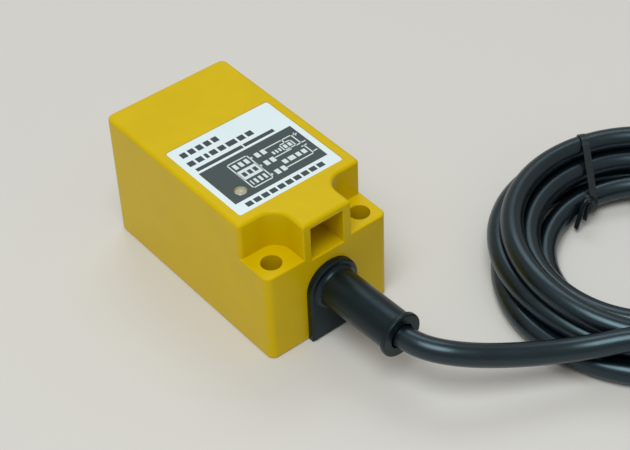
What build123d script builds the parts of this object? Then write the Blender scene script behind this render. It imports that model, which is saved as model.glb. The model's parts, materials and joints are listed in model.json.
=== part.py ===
from build123d import *
import math
import os

# Block-type inductive proximity sensor with a moulded cable outlet and a coiled cable.
# Millimetres. X across, Y from the cable end (negative) to the sensing face (positive), Z up.
# Origin: bottom centre of the block.

# ---- block housing ----
BODY_W = 30.0
BODY_L = 53.0
BODY_H = 30.0
TAIL = -BODY_L / 2            # cable end of the block
NOSE = BODY_L / 2             # sensing face
WALL = 2.0
CORNER_R = 1.6                # upright corners
TOP_R = 0.8                   # rounding of the top edges
FOOT_R = 0.4                  # rounding of the bottom edges and the ears

# ---- mounting ears either side of the spine ----
EAR_H = 21.5
EAR_L = 8.1
SPINE_W = 11.8
NOTCH_R = 4.0                 # inner corner of each notch
SPINE_R = 0.4                 # upright corners of the spine
SHOULDER_R = 1.0              # upright corners above the ears
HOLE_D = 4.3
HOLE_PITCH = 22.0
HOLE_Y = TAIL + 3.7

# ---- square pocket in the end of the spine ----
POCKET = 7.9
POCKET_Z = 20.5
POCKET_DEPTH = 7.0
POCKET_EDGE = 0.3

# ---- inside of the housing ----
CAVITY_HALF_W = BODY_W / 2 - WALL
CAVITY_TAIL = TAIL + EAR_L + WALL
CAVITY_NOSE = NOSE - WALL
CHANNEL_HALF_W = 6.0          # passage between the ears for the cable
CHANNEL_TAIL = TAIL + WALL
CHANNEL_TOP = 18.5
COVER_T = 2.0
FIT = 0.1                     # gap round pieces that drop into another
RESIN_GAP = 0.05

# ---- label and indicator ----
LABEL_W = 25.4
LABEL_L = 24.5
LABEL_T = 0.25
LABEL_RECESS = 0.35
LABEL_Y = TAIL + 22.7
LENS_X = -8.2
LENS_Y = TAIL + 16.2
LENS_D = 2.5
LENS_DOME_R = 2.0
LED_D = 3.0

# ---- circuit board, and where its components stand ----
BOARD_Z = 19.0
BOARD_T = 1.0
BOARD_TOP = BOARD_Z + BOARD_T
BOARD_HALF_W = 12.2
BOARD_TAIL = CAVITY_TAIL + 0.6
BOARD_NOSE = 12.0
IC_AT = (3.5, 3.0)
IC_W = 3.9
IC_L = 4.9
IC_PITCH = 1.27
TRANSISTOR_AT = (-3.5, -5.5)
TRANSISTOR_R = 2.3
DIODE_X = 4.5
DIODE_ROWS = (-13.0, -9.6)
DIODE_R = 0.95
DIODE_L = 3.9
DIODE_Z = BOARD_TOP + 1.2
CAN_AT = (9.0, 8.2)
CAN_R = 2.5
CHIP_L = 2.0
CHIP_W = 1.25
CHIP_COLUMNS = (-9.8, -6.6)
RESISTOR_ROWS = (-3.0, -0.2, 2.6, 5.4)
RESISTOR_H = 0.5
CAPACITORS_AT = [(-9.8, 9.4), (-6.6, 9.4), (-3.4, 9.4), (-2.8, 5.4)]
CAPACITOR_H = 1.2
LED_SEAT = BOARD_TOP + 1.0
LED_DOME = BOARD_TOP + 4.8
LENS_LOW = BOARD_TOP + 6.7

# ---- pot core and coil, axis along Y ----
CORE_Z = 15.0
CORE_OD = 22.0
CORE_ID = 17.9
POST_D = 9.3
POST_BORE = 4.5
CORE_NOSE = CAVITY_NOSE - FIT
CORE_L = 6.8
CORE_BASE = 2.2
CORE_SLOT = 4.0
BOBBIN_WALL = 0.5

# ---- cable and its rubber outlet ----
CABLE_D = 4.8
CORD_R = CABLE_D / 2
ROOT = Vector(0.2, TAIL, 12.2)        # sleeve axis at the end wall
TIP = Vector(1.1, TAIL - 20.3, 12.0)  # sleeve axis at its free end
FLANGE_HALF_W = 5.9
FLANGE_T = 1.5
GROMMET_FOOT = 0.15           # underside of the flange above the mounting face
SLOT_HALF_W = 4.6
SLEEVE_ROOT_R = 4.3
SLEEVE_TIP_R = 4.15
SLEEVE_BLEND_R = 1.0          # where the sleeve grows out of the flange
RING_R = 4.8
RING_T = 1.2
MOUTH_R = 2.8                 # flared mouth of the sleeve
MOUTH_DEPTH = 1.4
INNER_END = 9.5               # cable length inside the end wall
CLAMP_SPAN = (4.4, 7.2)       # inside the end wall, along the cable
CLAMP_T = 1.1
SLIP = 0.02                   # gap round pieces that are moulded in or pushed on
WIRE_D = 1.3
PAD_PITCH = 3.4               # where the conductors meet the board

# ---- free cable: short lead, then a coil on the floor ----
LEAD_ROUTE = [
    (1.1, -46.8, 12.0),
    (1.6, -49.8, 12.0),
    (2.8, -52.6, 11.9),
    (4.7, -55.2, 11.7),
    (7.5, -57.7, 11.1),
    (12.0, -60.8, 10.2),
    (18.7, -64.6, 9.1),
    (27.0, -69.0, 8.4),
]
COIL_X = 62.0
COIL_Y = -57.5
COIL_OUT = 40.2
COIL_IN = 16.0
COIL_LOW = 0.2
COIL_TOP = 14.6
COIL_EDGE = 4.0
TIE_ANGLE = 75.0              # degrees round the coil, from +X
TIE_W = 2.0
TIE_T = 0.5

# ---- stripped end of the cable, at the side of the coil ----
END_ROUTES = {
    "brown": [(98.8, -68.6, 2.0), (100.5, -65.5, 2.0), (105, -62.5, 1.4), (113, -59, 0.8), (123, -56, 0.7)],
    "black": [(98, -68.2, 3.3), (100, -64.5, 3.2), (104, -60, 2.4), (110.5, -54, 0.8), (117, -46.5, 0.7)],
    "blue": [(97.2, -68, 2.0), (99.5, -63.5, 2.0), (103, -58, 1.4), (107, -51, 0.8), (110, -42, 0.7)],
}
TIP_L = 6.0
TIP_D = 0.9

NEAR = 0.01                   # how close counts as lying on a plane

os.makedirs("parts", exist_ok=True)


def save(shape, name):
    shape.label = name
    export_step(shape, f"parts/{name}.step")


def block(x0, x1, y0, y1, z0, z1):
    size = Box(x1 - x0, y1 - y0, z1 - z0)
    return Pos((x0 + x1) / 2, (y0 + y1) / 2, (z0 + z1) / 2) * size


def rounded_prism(x0, x1, y0, y1, z0, z1, radius):
    plate = Pos((x0 + x1) / 2, (y0 + y1) / 2, z0) * RectangleRounded(x1 - x0, y1 - y0, radius)
    return extrude(plate, z1 - z0)


def rod_y(x, z, radius, y0, y1):
    axis = Plane(origin=(x, y0, z), x_dir=(1, 0, 0), z_dir=(0, 1, 0))
    return axis * Cylinder(radius, y1 - y0, align=(Align.CENTER, Align.CENTER, Align.MIN))


def rod_z(x, y, radius, z0, z1):
    return Pos(x, y, z0) * Cylinder(radius, z1 - z0, align=(Align.CENTER, Align.CENTER, Align.MIN))


def arc_radii(points):
    """The largest arc each corner's two runs leave room for."""
    radii = []
    for before, corner, after in zip(points, points[1:], points[2:]):
        run_in = Vector(*corner) - Vector(*before)
        run_out = Vector(*after) - Vector(*corner)
        half_turn = math.radians(run_in.get_angle(run_out)) / 2
        radii.append(0.45 * min(run_in.length, run_out.length) / math.tan(half_turn))
    return radii


def tube(points, diameter):
    path = FilletPolyline(*points, radius=arc_radii(points), close=False)
    start = Plane(origin=path @ 0, z_dir=path % 0)
    return sweep(start * Circle(diameter / 2), path=path)


# ---- housing ----

def upper_outline():
    """Plan of the block above the ears: full width, then the narrower spine."""
    wide = Pos(0, (TAIL + EAR_L + NOSE) / 2) * Rectangle(BODY_W, BODY_L - EAR_L)
    spine = Pos(0, TAIL + EAR_L / 2) * Rectangle(SPINE_W, EAR_L)
    plan = wide + spine
    inner = plan.vertices().filter_by(lambda v: abs(v.X) < SPINE_W and v.Y > TAIL + 1)
    plan = fillet(inner, NOTCH_R)
    tip = plan.vertices().filter_by(lambda v: v.Y < TAIL + NEAR)
    plan = fillet(tip, SPINE_R)
    shoulders = plan.vertices().filter_by(lambda v: abs(v.X) > BODY_W / 2 - NEAR and v.Y < 0)
    plan = fillet(shoulders, SHOULDER_R)
    corners = plan.vertices().filter_by(lambda v: v.Y > NOSE - NEAR)
    return fillet(corners, CORNER_R)


def outer_block():
    lower = rounded_prism(-BODY_W / 2, BODY_W / 2, TAIL, NOSE, 0, EAR_H, CORNER_R)
    rims = lower.edges().filter_by(is_level)
    lower = fillet(rims, FOOT_R)
    seat = EAR_H - FOOT_R
    upper = extrude(Pos(0, 0, seat) * upper_outline(), BODY_H - seat)
    top = upper.edges().filter_by(lambda e: e.bounding_box().min.Z > BODY_H - NEAR)
    return lower + fillet(top, TOP_R)


def is_level(edge):
    box = edge.bounding_box()
    return box.max.Z - box.min.Z < NEAR


def housing():
    shell = outer_block()
    shell -= cavity(-1, BODY_H - WALL)
    shell -= channel(-1, CHANNEL_TOP)
    shell -= block(-SLOT_HALF_W + ROOT.X, SLOT_HALF_W + ROOT.X, TAIL - 1, CHANNEL_TAIL + 1, -1, ROOT.Z)
    shell -= rod_y(ROOT.X, ROOT.Z, SLOT_HALF_W, TAIL - 1, CHANNEL_TAIL + 1)
    shell -= block(-POCKET / 2, POCKET / 2, TAIL - 1, TAIL + POCKET_DEPTH, POCKET_Z, POCKET_Z + POCKET)
    shell -= rod_z(LENS_X, LENS_Y, LENS_D / 2 + FIT / 2, BODY_H - WALL - 1, BODY_H + 1)
    shell -= label_blank(FIT / 2, BODY_H - LABEL_RECESS, BODY_H + 1)
    for side in (-1, 1):
        shell -= rod_z(side * HOLE_PITCH / 2, HOLE_Y, HOLE_D / 2, -1, EAR_H + 1)
    mouth = shell.edges().filter_by(is_pocket_mouth)
    return fillet(mouth, POCKET_EDGE)


def is_pocket_mouth(edge):
    box = edge.bounding_box()
    on_end = abs(box.min.Y - TAIL) < NEAR and abs(box.max.Y - TAIL) < NEAR
    in_width = box.min.X > -POCKET / 2 - NEAR and box.max.X < POCKET / 2 + NEAR
    in_height = box.min.Z > POCKET_Z - NEAR and box.max.Z < POCKET_Z + POCKET + NEAR
    return on_end and in_width and in_height


def cavity(low, high):
    return rounded_prism(-CAVITY_HALF_W, CAVITY_HALF_W, CAVITY_TAIL, CAVITY_NOSE, low, high, 1.0)


def channel(low, high):
    return block(-CHANNEL_HALF_W, CHANNEL_HALF_W, CHANNEL_TAIL, CAVITY_TAIL + 1, low, high)


def base_cover():
    half = CAVITY_HALF_W - FIT
    plate = rounded_prism(-half, half, CAVITY_TAIL + FIT, CAVITY_NOSE - FIT, 0, COVER_T, 0.95)
    tongue_half = CHANNEL_HALF_W - FIT
    tongue = block(-tongue_half, tongue_half, CHANNEL_TAIL + FIT, CAVITY_TAIL + 1, 0, COVER_T)
    return plate + tongue


# ---- label and indicator ----

def label_blank(grow, low, high):
    half_w = LABEL_W / 2 + grow
    half_l = LABEL_L / 2 + grow
    return rounded_prism(-half_w, half_w, LABEL_Y - half_l, LABEL_Y + half_l, low, high, 0.6)


def label_plate():
    low = BODY_H - LABEL_RECESS
    plate = label_blank(0, low, low + LABEL_T)
    return plate - rod_z(LENS_X, LENS_Y, LENS_D / 2 + FIT, low - 1, BODY_H)


def indicator_lens():
    """A clear pin with a shallow dome, its crown level with the top of the block."""
    stem = rod_z(LENS_X, LENS_Y, LENS_D / 2, LENS_LOW, BODY_H)
    dome = Pos(LENS_X, LENS_Y, BODY_H - LENS_DOME_R) * Sphere(LENS_DOME_R)
    return stem & (dome + rod_z(LENS_X, LENS_Y, LENS_D, LENS_LOW, BODY_H - LENS_D / 2))


def indicator_led():
    collar = rod_z(LENS_X, LENS_Y, LED_D / 2 + 0.4, LED_SEAT, LED_SEAT + 1.0)
    barrel = rod_z(LENS_X, LENS_Y, LED_D / 2, LED_SEAT, LED_DOME)
    return collar + barrel + Pos(LENS_X, LENS_Y, LED_DOME) * Sphere(LED_D / 2)


def upright_leg(x, y, width, top):
    half = width / 2
    return block(x - half, x + half, y - half, y + half, BOARD_TOP, top)


def led_legs():
    return Compound(children=[upright_leg(LENS_X + s, LENS_Y, 0.5, LED_SEAT) for s in (-1.0, 1.0)])


# ---- pot core and coil ----

def ferrite_core():
    back = CORE_NOSE - CORE_L
    core = rod_y(0, CORE_Z, CORE_OD / 2, back, CORE_NOSE)
    core -= rod_y(0, CORE_Z, CORE_ID / 2, back + CORE_BASE, CORE_NOSE + 1)
    core += rod_y(0, CORE_Z, POST_D / 2, back, CORE_NOSE)
    core -= rod_y(0, CORE_Z, POST_BORE / 2, back - 1, CORE_NOSE + 1)
    for side in (-1, 1):
        rim = CORE_Z + side * CORE_OD / 2
        core -= block(-CORE_SLOT / 2, CORE_SLOT / 2, back - 1, CORE_NOSE + 1, rim - 3, rim + 3)
    return core


def bobbin_span():
    return CORE_NOSE - CORE_L + CORE_BASE + FIT, CORE_NOSE - FIT


def coil_bobbin():
    back, front = bobbin_span()
    reel = rod_y(0, CORE_Z, POST_D / 2 + FIT + BOBBIN_WALL, back, front)
    for start in (back, front - BOBBIN_WALL):
        reel += rod_y(0, CORE_Z, CORE_ID / 2 - 0.2, start, start + BOBBIN_WALL)
    return reel - rod_y(0, CORE_Z, POST_D / 2 + FIT, back - 1, front + 1)


def winding_radius():
    return CORE_ID / 2 - 0.75


def coil_winding():
    back, front = bobbin_span()
    outer = rod_y(0, CORE_Z, winding_radius(), back + BOBBIN_WALL, front - BOBBIN_WALL)
    return outer - rod_y(0, CORE_Z, POST_D / 2 + FIT + BOBBIN_WALL, back, front)


def coil_leads():
    back, front = bobbin_span()
    middle = (back + front) / 2
    height = CORE_Z + CORE_ID / 2 + 0.35
    leads = []
    for side in (-1, 1):
        x = side * 0.9
        route = [
            (x, middle, CORE_Z + winding_radius() + SLIP),
            (x, middle - 0.3, height),
            (x, BOARD_NOSE + 2.5, height - 0.2),
            (x, BOARD_NOSE - 0.6, BOARD_TOP + 1.6),
            (x, BOARD_NOSE - 0.8, BOARD_TOP),
        ]
        leads.append(tube(route, 0.4))
    return Compound(children=leads)


# ---- circuit board and what it carries ----

def circuit_board():
    return rounded_prism(-BOARD_HALF_W, BOARD_HALF_W, BOARD_TAIL, BOARD_NOSE, BOARD_Z, BOARD_TOP, 0.8)


def gull_lead(side):
    """One bent lead of a small-outline package, pointing along side * X."""
    upper = [(0, 0.95), (0.45, 0.95), (0.45, 0.2), (1.1, 0.2)]
    lower = [(1.1, 0), (0.25, 0), (0.25, 0.75), (0, 0.75)]
    outline = Polyline(*upper, *lower, close=True)
    lead = extrude(Plane.XZ * make_face(outline), 0.2, both=True)
    return lead if side > 0 else lead.mirror(Plane.YZ)


def detector_ic():
    x, y = IC_AT
    low = BOARD_TOP + 0.15
    top = BOARD_TOP + 1.6
    case = rounded_prism(x - IC_W / 2, x + IC_W / 2, y - IC_L / 2, y + IC_L / 2, low, top, 0.2)
    return chamfer(case.faces().sort_by(Axis.Z)[-1].edges(), 0.2)


def detector_ic_leads():
    x, y = IC_AT
    leads = []
    for side in (-1, 1):
        for step in (-1.5, -0.5, 0.5, 1.5):
            place = Pos(x + side * IC_W / 2, y + IC_PITCH * step, BOARD_TOP)
            leads.append(place * gull_lead(side))
    return Compound(children=leads)


def output_transistor():
    x, y = TRANSISTOR_AT
    case = rod_z(x, y, TRANSISTOR_R, BOARD_TOP + 1.5, BOARD_TOP + 6.1)
    flat = block(x - 3, x + 3, y + 1.3, y + 3, BOARD_TOP, BOARD_TOP + 7)
    return case - flat


def transistor_legs():
    x, y = TRANSISTOR_AT
    legs = [upright_leg(x + s, y, 0.44, BOARD_TOP + 1.5) for s in (-IC_PITCH, 0, IC_PITCH)]
    return Compound(children=legs)


def protection_diodes():
    cases = []
    for y in DIODE_ROWS:
        bead = Plane(origin=(DIODE_X, y, DIODE_Z), z_dir=(1, 0, 0)) * Cylinder(DIODE_R, DIODE_L)
        cases.append(fillet(bead.edges().filter_by(GeomType.CIRCLE), 0.3))
    return Compound(children=cases)


def diode_leads():
    wires = []
    for y in DIODE_ROWS:
        for side in (-1, 1):
            start = DIODE_X + side * DIODE_L / 2
            pad = start + side * 1.6
            wires.append(tube([(start, y, DIODE_Z), (pad, y, DIODE_Z), (pad, y, BOARD_TOP)], 0.5))
    return Compound(children=wires)


def chip(x, y, height):
    half_l = CHIP_L / 2
    half_w = CHIP_W / 2
    top = BOARD_TOP + height
    return rounded_prism(x - half_l, x + half_l, y - half_w, y + half_w, BOARD_TOP, top, 0.08)


def chip_resistors():
    places = [(x, y) for x in CHIP_COLUMNS for y in RESISTOR_ROWS]
    return Compound(children=[chip(x, y, RESISTOR_H) for x, y in places])


def chip_capacitors():
    return Compound(children=[chip(x, y, CAPACITOR_H) for x, y in CAPACITORS_AT])


def filter_capacitor():
    x, y = CAN_AT
    can = rod_z(x, y, CAN_R, BOARD_TOP + 0.05, BOARD_TOP + 7.0)
    return fillet(can.edges().filter_by(GeomType.CIRCLE), 0.35)


def potting_resin():
    low = COVER_T + RESIN_GAP
    high = CHANNEL_TOP - RESIN_GAP
    fill = cavity(low, high) + channel(low, high)
    fill -= rod_y(0, CORE_Z, CORE_OD / 2 + RESIN_GAP, CORE_NOSE - CORE_L - RESIN_GAP, CAVITY_NOSE + 1)
    fill -= block(-CHANNEL_HALF_W - 1, CHANNEL_HALF_W + 1, TAIL, CHANNEL_TAIL + FLANGE_T, 0, CHANNEL_TOP)
    fill -= axis_rod(CORD_R + SLIP, -INNER_END - SLIP, 0)
    fill -= axis_rod(CORD_R + CLAMP_T + SLIP, -CLAMP_SPAN[1] - SLIP, -CLAMP_SPAN[0] + SLIP)
    for route in inner_routes():
        fill -= tube(route, WIRE_D + 3 * SLIP)
    return fill


# ---- cable outlet ----

def axis_rod(radius, start, end):
    """A rod on the sleeve's axis, measured outward from the end wall."""
    out = (TIP - ROOT).normalized()
    axis = Plane(origin=ROOT + out * start, z_dir=out)
    return axis * Cylinder(radius, end - start, align=(Align.CENTER, Align.CENTER, Align.MIN))


def is_sleeve_root(edge):
    """The curved line where the sleeve meets the front of the flange."""
    box = edge.bounding_box()
    front = TAIL - FLANGE_T
    on_front = abs(box.min.Y - front) < NEAR and abs(box.max.Y - front) < NEAR
    narrow = box.size.X < 2 * SLEEVE_ROOT_R + FIT
    tall = box.size.Z > SLEEVE_ROOT_R and box.min.Z > CABLE_D
    return on_front and narrow and tall


def axis_cone(radius_in, radius_out, start, end):
    out = (TIP - ROOT).normalized()
    axis = Plane(origin=ROOT + out * start, z_dir=out)
    return axis * Cone(radius_in, radius_out, end - start, align=(Align.CENTER, Align.CENTER, Align.MIN))


def tombstone(half_w, low, y0, y1):
    """Upright slab with a round head, as wide as the slot it stands in."""
    slab = block(ROOT.X - half_w, ROOT.X + half_w, y0, y1, low, ROOT.Z)
    return slab + rod_y(ROOT.X, ROOT.Z, half_w, y0, y1)


def cable_grommet():
    reach = (TIP - ROOT).length
    flange = tombstone(FLANGE_HALF_W, GROMMET_FOOT, TAIL - FLANGE_T, TAIL)
    front = flange.faces().sort_by(Axis.Y)[0].edges()
    body = chamfer(front, 0.35)
    body += tombstone(SLOT_HALF_W - RESIN_GAP, GROMMET_FOOT, TAIL - 0.5, CHANNEL_TAIL + 0.5)
    inside_face = CHANNEL_TAIL + FLANGE_T - RESIN_GAP
    body += tombstone(FLANGE_HALF_W - 0.25, COVER_T + RESIN_GAP, CHANNEL_TAIL, inside_face)
    body -= block(-BODY_W, BODY_W, CHANNEL_TAIL + SLIP, 0, -1, COVER_T + RESIN_GAP)
    body += axis_cone(SLEEVE_ROOT_R, SLEEVE_TIP_R, 1.0, reach - 0.5)
    body = fillet(body.edges().filter_by(is_sleeve_root), SLEEVE_BLEND_R)
    ring = axis_rod(RING_R, reach - RING_T, reach)
    body += fillet(ring.edges().filter_by(GeomType.CIRCLE), 0.3)
    body -= axis_rod(CORD_R + SLIP, -INNER_END, reach + 1)
    return body - axis_cone(CORD_R, MOUTH_R, reach - MOUTH_DEPTH, reach + 0.1)


def cable_entry():
    """The cable inside the sleeve and the end wall, ending square to the free lead."""
    rod = axis_rod(CORD_R, -INNER_END, (TIP - ROOT).length + 1)
    first_run = (Vector(*LEAD_ROUTE[1]) - TIP).normalized()
    past_tip = Cylinder(2 * CABLE_D, CABLE_D, align=(Align.CENTER, Align.CENTER, Align.MIN))
    return rod - Plane(origin=TIP, z_dir=first_run) * past_tip


def cable_clamp():
    ring = axis_rod(CORD_R + CLAMP_T, -CLAMP_SPAN[1], -CLAMP_SPAN[0])
    return ring - axis_rod(CORD_R + SLIP, -INNER_END, 0)


def inner_routes():
    """Three conductors from the end of the sheath up to the underside of the board."""
    out = (TIP - ROOT).normalized()
    start = ROOT - out * (INNER_END + 0.05)
    bend = start - out * 2.4
    pad_y = start.Y + 4.6
    routes = []
    for side in (-1, 0, 1):
        across = Vector(side * 1.2, 0, 0.55 if side == 0 else -0.4)
        pad_x = side * PAD_PITCH + 0.3
        rise = (pad_x, pad_y, BOARD_Z - 3.2)
        pad = (pad_x, pad_y, BOARD_Z - SLIP)
        routes.append([tuple(start + across), tuple(bend + across), rise, pad])
    return routes


# ---- free cable ----

def coil_section(grow):
    wide = COIL_OUT - COIL_IN + 2 * grow
    tall = COIL_TOP - COIL_LOW + 2 * grow
    middle = ((COIL_OUT + COIL_IN) / 2, (COIL_TOP + COIL_LOW) / 2)
    return Pos(*middle) * RectangleRounded(wide, tall, COIL_EDGE + grow)


def cable_coil():
    ring = revolve(Plane.XZ * coil_section(0), Axis.Z)
    return Pos(COIL_X, COIL_Y, 0) * ring


def cable_lead(coil):
    run = tube(LEAD_ROUTE, CABLE_D)
    outside = (run - coil).solids().sort_by(Axis.X)
    return outside[0]


def coil_tie():
    band = Plane.XZ * (coil_section(FIT + TIE_T) - coil_section(FIT))
    hoop = extrude(band, TIE_W / 2, both=True)
    return Pos(COIL_X, COIL_Y, 0) * Rot(0, 0, TIE_ANGLE) * hoop


def stripped_core(route, coil):
    outside = (tube(route, WIRE_D) - coil).solids().sort_by(SortBy.VOLUME)
    return outside[-1]


def core_tips():
    tips = []
    for route in END_ROUTES.values():
        last = Vector(*route[-1])
        along = (last - Vector(*route[-2])).normalized()
        axis = Plane(origin=last, z_dir=along)
        tip = axis * Cylinder(TIP_D / 2, TIP_L, align=(Align.CENTER, Align.CENTER, Align.MIN))
        tips.append(tip)
    return Compound(children=tips)


def make_housing_pieces():
    save(housing(), "housing")
    save(base_cover(), "base_cover")
    save(label_plate(), "label_plate")
    save(indicator_lens(), "indicator_lens")
    save(indicator_led(), "indicator_led")
    save(led_legs(), "led_legs")
    save(potting_resin(), "potting_resin")


def make_coil_pieces():
    save(ferrite_core(), "ferrite_core")
    save(coil_bobbin(), "coil_bobbin")
    save(coil_winding(), "coil_winding")
    save(coil_leads(), "coil_leads")


def make_board_pieces():
    save(circuit_board(), "circuit_board")
    save(detector_ic(), "detector_ic")
    save(detector_ic_leads(), "detector_ic_leads")
    save(output_transistor(), "output_transistor")
    save(transistor_legs(), "transistor_legs")
    save(protection_diodes(), "protection_diodes")
    save(diode_leads(), "diode_leads")
    save(chip_resistors(), "chip_resistors")
    save(chip_capacitors(), "chip_capacitors")
    save(filter_capacitor(), "filter_capacitor")


def make_cable_pieces():
    save(cable_grommet(), "cable_grommet")
    save(cable_entry(), "cable_entry")
    save(cable_clamp(), "cable_clamp")
    colours = ("brown", "black", "blue")
    for colour, route in zip(colours, inner_routes()):
        save(tube(route, WIRE_D), f"inner_wire_{colour}")
    coil = cable_coil()
    lead = cable_lead(coil)
    save(coil, "cable_coil")
    save(lead, "cable_lead")
    save(coil_tie(), "coil_tie")
    for colour, route in END_ROUTES.items():
        save(stripped_core(route, coil), f"end_core_{colour}")
    save(core_tips(), "end_core_tips")
    print("lead arc radii (mm):", [round(r, 1) for r in arc_radii(LEAD_ROUTE)])
    ends = [[round(r, 1) for r in arc_radii(route)] for route in END_ROUTES.values()]
    print("end core arc radii (mm):", ends)
    inner = [[round(r, 1) for r in arc_radii(route)] for route in inner_routes()]
    print("inner wire arc radii (mm):", inner)
    section = math.pi * CORD_R ** 2
    print("lead volume over section (mm):", round(lead.volume / section, 1))


make_housing_pieces()
make_coil_pieces()
make_board_pieces()
make_cable_pieces()
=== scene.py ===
# Block-type inductive proximity sensor with its coiled cable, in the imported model's frame.
# Sizes and places are in millimetres and become metres where an object is made,
# apart from the lights, which are given in metres.

import json
import math

import bmesh
import bpy
from mathutils import Matrix, Vector


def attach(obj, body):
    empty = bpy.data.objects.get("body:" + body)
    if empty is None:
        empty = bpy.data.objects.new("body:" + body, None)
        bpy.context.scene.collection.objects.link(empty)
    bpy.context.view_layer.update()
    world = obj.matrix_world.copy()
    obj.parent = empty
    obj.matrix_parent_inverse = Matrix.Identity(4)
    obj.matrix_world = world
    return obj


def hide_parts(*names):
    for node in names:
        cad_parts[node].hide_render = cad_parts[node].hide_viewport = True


MM = 0.001

# ---- camera ----
CAMERA_AT = (-146.7, -214.9, 241.7)
CAMERA_AZIMUTH = -37.345
CAMERA_ELEVATION = 41.921
CAMERA_ROLL = -2.575
CAMERA_LENS = 96.5            # on a sensor 36 mm wide

# ---- cable ----
CABLE_D = 4.8
LEAD_ROUTE = [
    (1.1, -46.8, 12.0),
    (1.6, -49.8, 12.0),
    (2.8, -52.6, 11.9),
    (4.7, -55.2, 11.7),
    (7.5, -57.7, 11.1),
    (12.0, -60.8, 10.2),
    (18.7, -64.6, 9.1),
    (27.0, -69.0, 8.4),
    (35.0, -75.0, 10.5),
]
COIL_AT = (62.0, -57.5)
FIRST_BEARING = 230.0         # where the lead becomes the first turn
POINTS_PER_TURN = 18
INNER_R = 20.0                # innermost strand at the tie
ROW_HEIGHT = CABLE_D * math.sqrt(3) / 2
TIE_BEARING = 75.0
CHANGE_BEARING = 260.0        # where a turn moves over to the next place in the bundle
CHANGE_SPAN = 150.0
LEAST_R = 19.5                # the cable is too stiff to lie tighter than this
STIFFNESS = 0.12              # how strongly each pass straightens it
SETTLING_PASSES = 80
PUSH_SHARE = 0.25             # share of an overlap that each strand gives way by, per pass
# One row to a turn: its (column, row) in the tied bundle, its row opposite the tie,
# and how far off centre it lies (mm).
LAY = [
    ((-1, 3), 2.4, (-4, -3)),
    ((1, 2), 1, (-5, 3)),
    ((2, 1), 0, (-6, 5)),
    ((1, 1), 1, (-4, 5)),
    ((0, 0), 0, (-8, 5)),
    ((1, 0), 0, (-9, 0)),
]
LAST_BEARING = 290.0          # where the last turn leaves the coil
END_ROUTE = [(80, -81.5, 2.4), (88, -78, 2.4), (94, -73.5, 2.4), (98.5, -68, 2.4)]

# ---- tie round the coil ----
TIE_OUTSIDE = (73.6, -19.2)   # where it passes the outer and the inner side of the coil
TIE_INSIDE = (62.8, -38.0)
TIE_W = 1.5
TIE_T = 0.45
RIB_TOP = 0.18                # half widths of the rib along the strip, at its top and its foot
RIB_FOOT = 0.35
RIB_RISE = 0.1                # its top above the strip's nominal face, and its foot below it
EDGE_FALL = 0.15              # the strip's edges below that face
HOOP_STEPS = 72
KNOT_STEPS = 24
TAIL_STEPS = 6                # to each rounded corner of a tail
KNOT_LOOPS = [(1.8, 0.9), (1.2, 0.4)]
KNOT_BITE = 0.2               # how far the knot reaches into the hoop
KNOT_RISE = 0.5
KNOT_ASIDE = 0.6              # along the cable, from the middle of the hoop
HOOP_SLACK = 1.04             # the hoop stands just clear of the sheath
BUNDLE_SPAN = (-10.0, 30.0)   # how far inward from TIE_OUTSIDE the tied strands may lie
TAIL_ROUTES = [
    [(62, -38.6, 6), (60.8, -38.2, 7.2), (59.4, -38.4, 6.8), (58.6, -38.6, 5), (56.6, -39, 1.2)],
    [(62, -39, 5.2), (61, -38.7, 6.6), (60, -38.8, 6), (59.7, -38.9, 4.2), (59.4, -38.8, 2)],
]

# ---- stripped cores beyond the end of the sheath ----
WIRE_D = 1.3
CORE_ROUTES = {
    "brown": [(98.8, -68.6, 2.0), (100.5, -65.5, 2.0), (105, -62.5, 1.4), (113, -59, 0.8), (123, -56, 0.7)],
    "black": [(98, -68.2, 3.3), (100, -64.5, 3.2), (104, -60, 2.4), (110.5, -54, 0.8), (117, -46.5, 0.7)],
    "blue": [(97.2, -68, 2.0), (99.5, -63.5, 2.0), (103, -58, 1.4), (107, -51, 0.8), (110, -42, 0.7)],
}

# ---- label ----
LABEL_Y = -3.8
LABEL_TOP = 29.9
INK_T = 0.02
LINE_W = 0.28
LENS_AT = (-8.2, -10.3)
LENS_HOLE_R = 1.3
PANEL_HALF_W = 11.35          # the dark panel
PANEL_LOW = -9.05             # its lower and upper edges, from LABEL_Y
PANEL_HIGH = 2.9
BLOCK_GAP = 0.35              # between the blocks of a row, as a share of the row's height
WINDOW_STEPS = 48

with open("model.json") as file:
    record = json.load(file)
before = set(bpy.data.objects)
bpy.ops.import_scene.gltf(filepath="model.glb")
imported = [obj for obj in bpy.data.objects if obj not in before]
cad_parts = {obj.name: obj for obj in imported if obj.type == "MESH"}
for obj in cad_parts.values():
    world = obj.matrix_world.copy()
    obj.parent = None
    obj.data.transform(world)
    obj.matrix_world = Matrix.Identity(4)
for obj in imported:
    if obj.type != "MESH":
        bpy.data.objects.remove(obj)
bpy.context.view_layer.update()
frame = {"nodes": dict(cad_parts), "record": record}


# ---- materials ----

def linear(value):
    value /= 255
    return value / 12.92 if value <= 0.04045 else ((value + 0.055) / 1.055) ** 2.4


def colour(red, green, blue, share=1.0):
    return (linear(red) * share, linear(green) * share, linear(blue) * share, 1.0)


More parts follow.
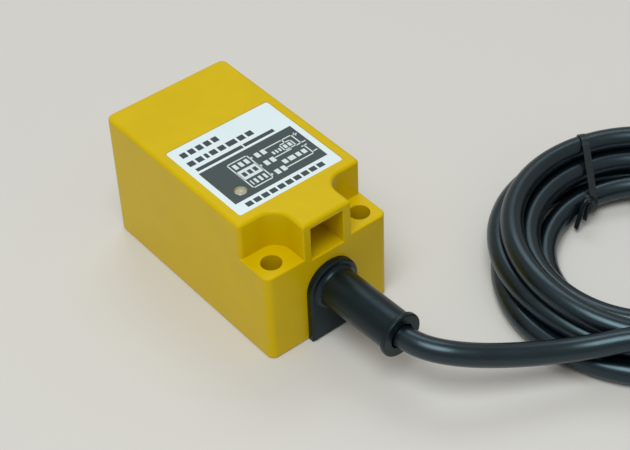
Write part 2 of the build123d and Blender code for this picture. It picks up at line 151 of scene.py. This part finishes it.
def surface(name, rgb, rough, mottle=250.0, depth=0.9, grain=2500.0, bump=0.1, **sockets):
    """A Principled material with cloudy colour, uneven gloss and a fine grain."""
    made = bpy.data.materials.new(name)
    made.use_nodes = True
    nodes = made.node_tree.nodes
    links = made.node_tree.links
    shader = nodes["Principled BSDF"]
    place = nodes.new("ShaderNodeTexCoord")

    cloud = nodes.new("ShaderNodeTexNoise")
    cloud.inputs["Scale"].default_value = mottle
    cloud.inputs["Detail"].default_value = 4.0
    links.new(place.outputs["Object"], cloud.inputs["Vector"])
    ramp = nodes.new("ShaderNodeValToRGB")
    ramp.color_ramp.elements[0].position = 0.3
    ramp.color_ramp.elements[0].color = colour(*rgb, share=depth)
    ramp.color_ramp.elements[1].position = 0.7
    ramp.color_ramp.elements[1].color = colour(*rgb)
    links.new(cloud.outputs["Fac"], ramp.inputs["Fac"])
    links.new(ramp.outputs["Color"], shader.inputs["Base Color"])

    gloss = nodes.new("ShaderNodeMapRange")
    gloss.inputs["From Min"].default_value = 0.3
    gloss.inputs["From Max"].default_value = 0.7
    gloss.inputs["To Min"].default_value = rough * 0.88
    gloss.inputs["To Max"].default_value = min(rough * 1.12, 1.0)
    links.new(cloud.outputs["Fac"], gloss.inputs["Value"])
    links.new(gloss.outputs["Result"], shader.inputs["Roughness"])

    speckle = nodes.new("ShaderNodeTexNoise")
    speckle.inputs["Scale"].default_value = grain
    speckle.inputs["Detail"].default_value = 3.0
    links.new(place.outputs["Object"], speckle.inputs["Vector"])
    relief = nodes.new("ShaderNodeBump")
    relief.inputs["Strength"].default_value = bump
    relief.inputs["Distance"].default_value = 0.05 * MM
    links.new(speckle.outputs["Fac"], relief.inputs["Height"])
    links.new(relief.outputs["Normal"], shader.inputs["Normal"])

    for socket, value in sockets.items():
        shader.inputs[socket.replace("_", " ")].default_value = value
    return made


def make_materials():
    return {
        "housing_plastic": surface(
            "moulded yellow plastic", (216, 184, 0), 0.32, mottle=120, depth=0.94, grain=1800, bump=0.12,
            Subsurface_Weight=0.08, Subsurface_Scale=0.8 * MM, Specular_IOR_Level=0.25,
            Specular_Tint=(1.0, 0.85, 0.35, 1.0)),
        "label_print": surface(
            "label foil", (228, 242, 248), 0.3, mottle=60, depth=0.96, bump=0.05, Coat_Weight=0.3),
        "label_dark": surface("label dark print", (52, 66, 68), 0.38, mottle=300, depth=0.85, bump=0.05),
        "label_ink": surface("label ink", (48, 58, 64), 0.4, mottle=900, depth=0.8, bump=0.05),
        "label_light": surface("label light print", (216, 230, 234), 0.35, mottle=900, depth=0.93, bump=0.05),
        "lens_clear": surface(
            "milky lens", (212, 208, 186), 0.16, mottle=500, depth=0.88, bump=0.05,
            Transmission_Weight=0.25, Subsurface_Weight=0.3, Subsurface_Scale=0.6 * MM, Coat_Weight=0.5),
        "led_epoxy": surface("red epoxy", (170, 30, 24), 0.12, mottle=300, Transmission_Weight=0.6),
        "tinned_metal": surface("tinned metal", (190, 190, 188), 0.3, mottle=900, Metallic=1.0),
        "ferrite": surface("ferrite", (52, 50, 52), 0.6, mottle=600, depth=0.75, bump=0.3),
        "bobbin_nylon": surface("bobbin nylon", (214, 208, 192), 0.5),
        "copper_wire": copper_winding(),
        "board_laminate": surface("board laminate", (38, 92, 52), 0.35, mottle=500, depth=0.85),
        "package_black": surface("moulded package", (34, 34, 36), 0.5, mottle=900, depth=0.8, bump=0.25),
        "diode_glass": surface("diode case", (44, 40, 38), 0.3, mottle=900),
        "chip_ceramic": surface("chip ceramic", (176, 148, 112), 0.5, mottle=1500, depth=0.85),
        "capacitor_sleeve": surface("capacitor sleeve", (30, 46, 84), 0.28, mottle=500),
        "resin": surface("potting resin", (46, 44, 44), 0.3, mottle=200, depth=0.8, bump=0.1),
        "rubber_black": surface(
            "moulded rubber", (9, 12, 14), 0.36, mottle=300, depth=0.8, grain=3500, bump=0.25,
            Specular_Tint=(0.5, 0.82, 1.0, 1.0)),
        "cable_sheath": surface(
            "cable sheath", (8, 16, 22), 0.3, mottle=220, depth=0.8, grain=900, bump=0.1,
            Specular_IOR_Level=0.8, Specular_Tint=(0.6, 0.86, 1.0, 1.0)),
        "clamp_nylon": surface("clamp nylon", (206, 202, 190), 0.45),
        "wire_brown": surface("brown insulation", (104, 58, 32), 0.35, mottle=600),
        "wire_black": surface("black insulation", (30, 30, 32), 0.35, mottle=600),
        "wire_blue": surface("blue insulation", (34, 82, 168), 0.35, mottle=600),
        "tie_plastic": surface(
            "tie strip", (18, 26, 29), 0.34, mottle=900, depth=0.8, grain=3000, bump=0.2,
            Specular_Tint=(0.8, 0.95, 1.0, 1.0)),
    }


def copper_winding():
    """Enamelled wire wound round the coil's own axis, one bump to a strand."""
    made = surface("enamelled copper", (176, 92, 48), 0.25, mottle=900, depth=0.8, Metallic=1.0)
    nodes = made.node_tree.nodes
    links = made.node_tree.links
    place = nodes["Texture Coordinate"]
    strands = nodes.new("ShaderNodeTexWave")
    strands.bands_direction = "Y"
    strands.inputs["Scale"].default_value = 900.0
    links.new(place.outputs["Object"], strands.inputs["Vector"])
    links.new(strands.outputs["Fac"], nodes["Bump"].inputs["Height"])
    nodes["Bump"].inputs["Strength"].default_value = 0.5
    return made


materials = make_materials()


def paint(obj, slot_name, finish=None):
    obj.data.materials.clear()
    obj.data.materials.append(materials[finish or slot_name])


def paint_cad_nodes():
    for part in frame["record"]["subparts"]:
        node = frame["nodes"][part["node"]]
        made = materials[part["material_slot"]]
        if node.data.materials:
            node.data.materials[0] = made
        else:
            node.data.materials.append(made)


# ---- making objects ----

def link(name, data):
    obj = bpy.data.objects.new(name, data)
    bpy.context.scene.collection.objects.link(obj)
    return obj


def metres(points):
    return [Vector(p) * MM for p in points]


def cord_curve(name, points, diameter):
    """An open NURBS line led by its control points, as a round solid."""
    data = bpy.data.curves.new(name, "CURVE")
    data.dimensions = "3D"
    data.bevel_depth = diameter * MM / 2
    data.bevel_resolution = 7
    data.resolution_u = 8
    data.use_fill_caps = True
    spline = data.splines.new("NURBS")
    spline.points.add(len(points) - 1)
    for target, point in zip(spline.points, metres(points)):
        target.co = (*point, 1.0)
    spline.order_u = 3
    spline.use_endpoint_u = True
    return link(name, data)


def mesh_piece(name, build, smooth=True):
    data = bpy.data.meshes.new(name)
    mesh = bmesh.new()
    build(mesh)
    bmesh.ops.recalc_face_normals(mesh, faces=mesh.faces)
    mesh.to_mesh(data)
    mesh.free()
    for face in data.polygons:
        face.use_smooth = smooth
    return link(name, data)


def add_box(mesh, x0, x1, y0, y1, z0, z1):
    size = Vector((x1 - x0, y1 - y0, z1 - z0)) * MM
    middle = Vector((x0 + x1, y0 + y1, z0 + z1)) * MM / 2
    bmesh.ops.create_cube(mesh, size=1.0, matrix=Matrix.Translation(middle) @ Matrix.Diagonal((*size, 1.0)))


def add_sweep(mesh, points, side, profile, closed=False):
    """Sweeps a profile, given as (across, out) pairs, along points. side is the across direction."""
    rings = []
    count = len(points)
    for i, point in enumerate(points):
        before = points[i - 1] if i or closed else point
        after = points[(i + 1) % count] if i < count - 1 or closed else point
        along = (after - before).normalized()
        across = (side - along * side.dot(along)).normalized()
        out = along.cross(across)
        rings.append([mesh.verts.new((point + across * a + out * o) * MM) for a, o in profile])
    pairs = list(zip(rings, rings[1:])) + ([(rings[-1], rings[0])] if closed else [])
    for near, far in pairs:
        for j in range(len(profile)):
            k = (j + 1) % len(profile)
            mesh.faces.new((near[j], near[k], far[k], far[j]))
    if not closed:
        mesh.faces.new(rings[0])
        mesh.faces.new(list(reversed(rings[-1])))


# ---- cable: lead and coil ----

def ease(value):
    """Rises smoothly from 0 to 1, and stays there on either side."""
    value = min(max(value, 0.0), 1.0)
    return value * value * (3 - 2 * value)


def coil_stations():
    """(bearing, radius, height) of the cable's middle, POINTS_PER_TURN to a turn."""
    step = 360 / POINTS_PER_TURN
    last = LAST_BEARING + 360 * (len(LAY) - 1)
    stations = []
    bearing = FIRST_BEARING
    while bearing <= last:
        turns_done = (bearing - CHANGE_BEARING) / 360 + 1
        turn = min(int(turns_done), len(LAY) - 1)
        here = lay_at(turn - 1 if turn else 0, bearing)
        there = lay_at(turn, bearing)
        share = ease((turns_done - turn) * 360 / CHANGE_SPAN)
        stations.append([bearing, *(a + (b - a) * share for a, b in zip(here, there))])
        bearing += step
    spread_strands(stations)
    return stations


def lay_at(turn, bearing):
    """Radius and height of one turn: a circle off centre that meets the tie in its place."""
    (column, row), far_row, shift = LAY[turn]
    loose = (1 - pointing(bearing).dot(pointing(TIE_BEARING))) / 2
    height = CABLE_D / 2 + ROW_HEIGHT * (row + (far_row - row) * loose)
    radius = INNER_R + CABLE_D * (column + row / 2)
    radius += Vector(shift).dot(pointing(bearing) - pointing(TIE_BEARING))
    return max(radius, LEAST_R), height


def pointing(bearing):
    angle = math.radians(bearing)
    return Vector((math.cos(angle), math.sin(angle)))


def spread_strands(stations):
    """Lets the strands settle: stiff along their length, side by side, on or above the floor."""
    for _ in range(SETTLING_PASSES):
        even_out(stations)
        for first in range(POINTS_PER_TURN):
            strands = stations[first::POINTS_PER_TURN]
            for i, one in enumerate(strands):
                for other in strands[i + 1:]:
                    push_apart(one, other)
        for station in stations:
            station[1] = max(station[1], LEAST_R)
            station[2] = max(station[2], CABLE_D / 2)


def even_out(stations):
    """Moves each station's radius and height a little towards the mean of its neighbours."""
    evened = []
    for before, here, after in zip(stations, stations[1:], stations[2:]):
        means = [(a + b) / 2 for a, b in zip(before[1:], after[1:])]
        evened.append([value + STIFFNESS * (mean - value) for value, mean in zip(here[1:], means)])
    for station, values in zip(stations[1:-1], evened):
        station[1:] = values


def push_apart(one, other):
    """Moves two strands at one bearing away from each other if they overlap."""
    gap_r = other[1] - one[1]
    gap_z = other[2] - one[2]
    gap = math.hypot(gap_r, gap_z)
    if gap < CABLE_D:
        share = PUSH_SHARE * (CABLE_D - gap) / gap
        one[1] -= gap_r * share
        one[2] -= gap_z * share
        other[1] += gap_r * share
        other[2] += gap_z * share


def coil_points(stations):
    """Control points for the stations, set outward so that the curve keeps their radius."""
    outward = 1 / math.cos(math.pi / POINTS_PER_TURN)
    points = []
    for bearing, radius, height in stations:
        angle = math.radians(bearing)
        reach = radius * outward
        points.append((COIL_AT[0] + reach * math.cos(angle), COIL_AT[1] + reach * math.sin(angle), height))
    return points


stations = coil_stations()
cable = cord_curve("cable", LEAD_ROUTE + coil_points(stations) + END_ROUTE, CABLE_D)
paint(cable, "cable_sheath")
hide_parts("cable_lead", "cable_coil")
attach(cable, "root")


# ---- tie ----

def tie_frame():
    """The tie's outer foot on the floor, and its inward and sideways directions."""
    outside = Vector((*TIE_OUTSIDE, 0))
    inward = (Vector((*TIE_INSIDE, 0)) - outside).normalized()
    return outside, inward, Vector((-inward.y, inward.x, 0))


def strands_at_tie():
    """(distance inward, height) of each strand where it crosses the tie's upright plane."""
    outside, inward, side = tie_frame()
    flat = []
    for bearing, radius, height in stations:
        angle = math.radians(bearing)
        spot = Vector((*COIL_AT, 0)) + radius * Vector((math.cos(angle), math.sin(angle), 0))
        flat.append((spot - outside, height))
    found = []
    for (a, low), (b, high) in zip(flat, flat[1:]):
        before = a.dot(side)
        after = b.dot(side)
        share = before / (before - after) if before * after < 0 else None
        if share is not None and BUNDLE_SPAN[0] < a.dot(inward) < BUNDLE_SPAN[1]:
            found.append((a.lerp(b, share).dot(inward), low + (high - low) * share))
    return found


def hoop_points():
    """The tie's line round the strands, pulled straight from one to the next."""
    outside, inward, _ = tie_frame()
    reach = CABLE_D / 2 * HOOP_SLACK + TIE_T / 2
    strands = [Vector(s) for s in strands_at_tie()]
    points = []
    for step in range(HOOP_STEPS):
        angle = math.radians(step * 360 / HOOP_STEPS)
        ray = Vector((math.cos(angle), math.sin(angle)))
        corner = max(strands, key=ray.dot) + ray * reach
        points.append(outside + inward * corner.x + Vector((0, 0, max(corner.y, TIE_T / 2))))
    return points


def strip_profile():
    """A flat strip with a wire down its middle."""
    half = TIE_W / 2
    low = -TIE_T / 2
    high = TIE_T / 2
    return [(-half, low), (half, low), (half, high - EDGE_FALL),
            (RIB_FOOT, high - RIB_RISE), (RIB_TOP, high + RIB_RISE),
            (-RIB_TOP, high + RIB_RISE), (-RIB_FOOT, high - RIB_RISE), (-half, high - EDGE_FALL)]


def build_tie(mesh):
    """The hoop, a knot of two small loops on its outer side, and two tails inside."""
    outside, inward, side = tie_frame()
    add_sweep(mesh, hoop_points(), side, strip_profile(), closed=True)
    outermost, height = min(strands_at_tie())
    reach = outermost - (CABLE_D + TIE_W) / 2 + KNOT_BITE
    knot = outside + inward * reach + side * KNOT_ASIDE + Vector((0, 0, height + KNOT_RISE))
    for half_w, half_h in KNOT_LOOPS:
        loop = []
        for step in range(KNOT_STEPS):
            angle = math.radians(step * 360 / KNOT_STEPS)
            rise = Vector((0, 0, half_h * math.sin(angle)))
            loop.append(knot - side * half_w * math.cos(angle) + rise)
        add_sweep(mesh, loop, inward, strip_profile(), closed=True)
    for route in TAIL_ROUTES:
        add_sweep(mesh, tail_line(route), inward, strip_profile())


def tail_line(route):
    """A smooth line that starts and ends on the route and rounds the points between."""
    corners = [Vector(p) for p in route]
    line = [corners[0]]
    for before, corner, after in zip(corners, corners[1:], corners[2:]):
        start = (before + corner) / 2
        end = (corner + after) / 2
        for step in range(TAIL_STEPS):
            share = step / TAIL_STEPS
            line.append(start.lerp(corner, share).lerp(corner.lerp(end, share), share))
    return line + [corners[-1]]


tie = mesh_piece("tie_strip", build_tie, smooth=False)
paint(tie, "tie_plastic")
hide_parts("coil_tie")
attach(tie, "root")


# ---- stripped cores ----

for core_colour, route in CORE_ROUTES.items():
    core = cord_curve(f"core_{core_colour}", route, WIRE_D)
    paint(core, f"wire_{core_colour}")
    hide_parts(f"end_core_{core_colour}")
    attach(core, "root")


# ---- label print: x from the label's middle, y from LABEL_Y ----

def ink_box(mesh, x0, x1, y0, y1, layer):
    low = LABEL_TOP + INK_T * (layer - 1)
    add_box(mesh, x0, x1, LABEL_Y + y0, LABEL_Y + y1, low, low + INK_T)


def ink_line(mesh, x0, y0, x1, y1, layer=2):
    half = LINE_W / 2
    ink_box(mesh, min(x0, x1) - half, max(x0, x1) + half, min(y0, y1) - half, max(y0, y1) + half, layer)


def ink_row(mesh, x0, x1, y, height, lengths, layer):
    """A row of plain blocks with the given relative lengths, and even gaps."""
    gap = BLOCK_GAP * height
    room = x1 - x0 - gap * (len(lengths) - 1)
    x = x0
    for length in lengths:
        wide = room * length / sum(lengths)
        ink_box(mesh, x, x + wide, y - height / 2, y + height / 2, layer)
        x += wide + gap


def build_dark_print(mesh):
    """The dark panel, with a round window for the indicator."""
    outline = ((-PANEL_HALF_W, PANEL_LOW), (PANEL_HALF_W, PANEL_LOW), (PANEL_HALF_W, PANEL_HIGH),
               (-PANEL_HALF_W, PANEL_HIGH))
    corners = [mesh.verts.new(Vector((x, LABEL_Y + y, LABEL_TOP)) * MM) for x, y in outline]
    window = []
    for step in range(WINDOW_STEPS):
        angle = math.radians(step * 360 / WINDOW_STEPS)
        spot = Vector((*LENS_AT, LABEL_TOP)) + LENS_HOLE_R * Vector((math.cos(angle), math.sin(angle), 0))
        window.append(mesh.verts.new(spot * MM))
    edges = [mesh.edges.new(pair) for ring in (corners, window) for pair in zip(ring, ring[1:] + ring[:1])]
    filled = bmesh.ops.triangle_fill(mesh, edges=edges, use_beauty=True)
    faces = [item for item in filled["geom"] if isinstance(item, bmesh.types.BMFace)]
    raised = bmesh.ops.extrude_face_region(mesh, geom=faces)
    tops = [item for item in raised["geom"] if isinstance(item, bmesh.types.BMVert)]
    bmesh.ops.translate(mesh, verts=tops, vec=Vector((0, 0, INK_T * MM)))


def build_dark_marks(mesh):
    """Rows of plain blocks: three above the panel, one below it and one inside the sketch."""
    ink_row(mesh, -10.9, -1.9, 9.45, 1.6, (3, 3, 3, 3, 3), 1)
    ink_row(mesh, -11.3, 4.5, 6.4, 1.5, (2, 2, 1, 2, 2, 3, 2, 2), 1)
    ink_row(mesh, -11.0, 8.1, 4.05, 1.0, (9, 6), 1)
    ink_row(mesh, -9.9, 9.1, -10.6, 1.3, (1,) * 10, 1)
    ink_row(mesh, -5.1, -1.6, -3.15, 1.3, (2, 2, 2), 3)


def build_light_print(mesh):
    """A circuit sketch, with blocks for its text: a framed box, three terminals, a load and a supply."""
    left, right, low, high = -5.75, -0.95, -7.5, 1.2
    row = (high - low) / 3
    for y in (low, high):
        ink_line(mesh, left, y, right, y)
    for x in (left, right):
        ink_line(mesh, x, low, x, high)
    ink_box(mesh, left, right, low + row, high - row, 2)
    ink_row(mesh, left + 0.6, right - 0.6, high - row / 2, 1.5, (2, 2, 2), 2)
    ink_row(mesh, left + 0.6, right - 0.6, low + row / 2, 1.5, (1, 2, 2, 2), 2)
    for y in (0.0, -3.1, -6.6):
        ink_box(mesh, -0.9, -0.4, y - 0.25, y + 0.25, 2)
        ink_row(mesh, 0.3, 2.8, y - 0.1, 1.5, (1, 1), 2)
    ink_line(mesh, 2.9, 0.45, 9.64, 0.45)
    ink_line(mesh, 9.64, 0.45, 9.64, -2.77)
    ink_line(mesh, 8.6, -2.77, 10.7, -2.77)
    ink_line(mesh, 9.1, -3.8, 10.2, -3.8)
    ink_line(mesh, 9.64, -3.8, 9.64, -6.9)
    ink_line(mesh, 2.9, -6.9, 9.64, -6.9)
    ink_line(mesh, 3.1, -3.02, 7.26, -3.02)
    ink_line(mesh, 7.26, -3.02, 7.26, -2.6)
    ink_line(mesh, 7.26, -0.6, 7.26, 0.45)
    for y in (-2.6, -0.6):
        ink_line(mesh, 5.85, y, 8.55, y)
    for x in (5.85, 8.55):
        ink_line(mesh, x, -2.6, x, -0.6)
    ink_row(mesh, 6.3, 8.1, -1.6, 1.1, (1, 1), 2)
    ink_row(mesh, 3.4, 5.4, -1.7, 1.0, (1, 1, 1), 2)
    ink_row(mesh, 3.3, 9.0, -5.2, 1.3, (2, 3, 2, 2), 2)
    ink_line(mesh, 10.1, 0.2, 10.8, 0.2)
    ink_line(mesh, 10.44, -0.15, 10.44, 0.55)
    ink_line(mesh, 10.1, -6.4, 10.8, -6.4)


for print_name, build, finish in (
    ("label_panel", build_dark_print, "label_dark"),
    ("label_marks", build_dark_marks, "label_ink"),
    ("label_diagram", build_light_print, "label_light"),
):
    printed = mesh_piece(print_name, build, smooth=False)
    paint(printed, "label_print", finish)
    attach(printed, "root")

paint_cad_nodes()


# ---- floor, light and camera ----

def make_floor():
    data = bpy.data.meshes.new("floor")
    half = 3000 * MM
    corners = [(-half, -half, 0), (half, -half, 0), (half, half, 0), (-half, half, 0)]
    data.from_pydata(corners, [], [(0, 1, 2, 3)])
    floor = link("floor", data)
    finish = surface("pale floor", (218, 215, 212), 0.6, mottle=4, depth=0.97, grain=60, bump=0.03)
    data.materials.append(finish)


LIGHTS_AIM = (0.02, -0.02, 0.01)  # metres, as are the lights' places and sizes


def area_light(name, place, size, power, tint=(1.0, 1.0, 1.0)):
    data = bpy.data.lights.new(name, "AREA")
    data.shape = "RECTANGLE"
    data.size, data.size_y = size
    data.energy = power
    data.color = tint
    lamp = link(name, data)
    lamp.location = place
    towards = Vector(LIGHTS_AIM) - lamp.location
    lamp.rotation_euler = towards.to_track_quat("-Z", "Y").to_euler()


def make_lights():
    area_light("ceiling", (-0.4, -0.3, 1.2), (0.7, 0.7), 9.5, (0.94, 1.0, 0.99))
    area_light("window", (0.5, 0.6, 1.1), (0.7, 0.5), 2.5, (0.88, 0.96, 1.0))
    world = bpy.data.worlds.new("studio")
    world.use_nodes = True
    world.node_tree.nodes["Background"].inputs["Color"].default_value = (1.0, 0.96, 0.9, 1.0)
    world.node_tree.nodes["Background"].inputs["Strength"].default_value = 0.4
    bpy.context.scene.world = world


def set_plain_colours():
    """Shows colours as they are, without a film curve."""
    bpy.context.scene.view_settings.view_transform = "Standard"


def make_camera():
    data = bpy.data.cameras.new("camera")
    data.lens = CAMERA_LENS
    data.sensor_width = 36.0
    data.clip_start = 0.01
    camera = link("camera", data)
    turn = Matrix.Rotation(math.radians(CAMERA_AZIMUTH), 4, "Z")
    turn @= Matrix.Rotation(math.radians(90 - CAMERA_ELEVATION), 4, "X")
    turn @= Matrix.Rotation(math.radians(CAMERA_ROLL), 4, "Z")
    camera.matrix_world = Matrix.Translation(Vector(CAMERA_AT) * MM) @ turn
    bpy.context.scene.camera = camera


make_floor()
make_lights()
set_plain_colours()
make_camera()
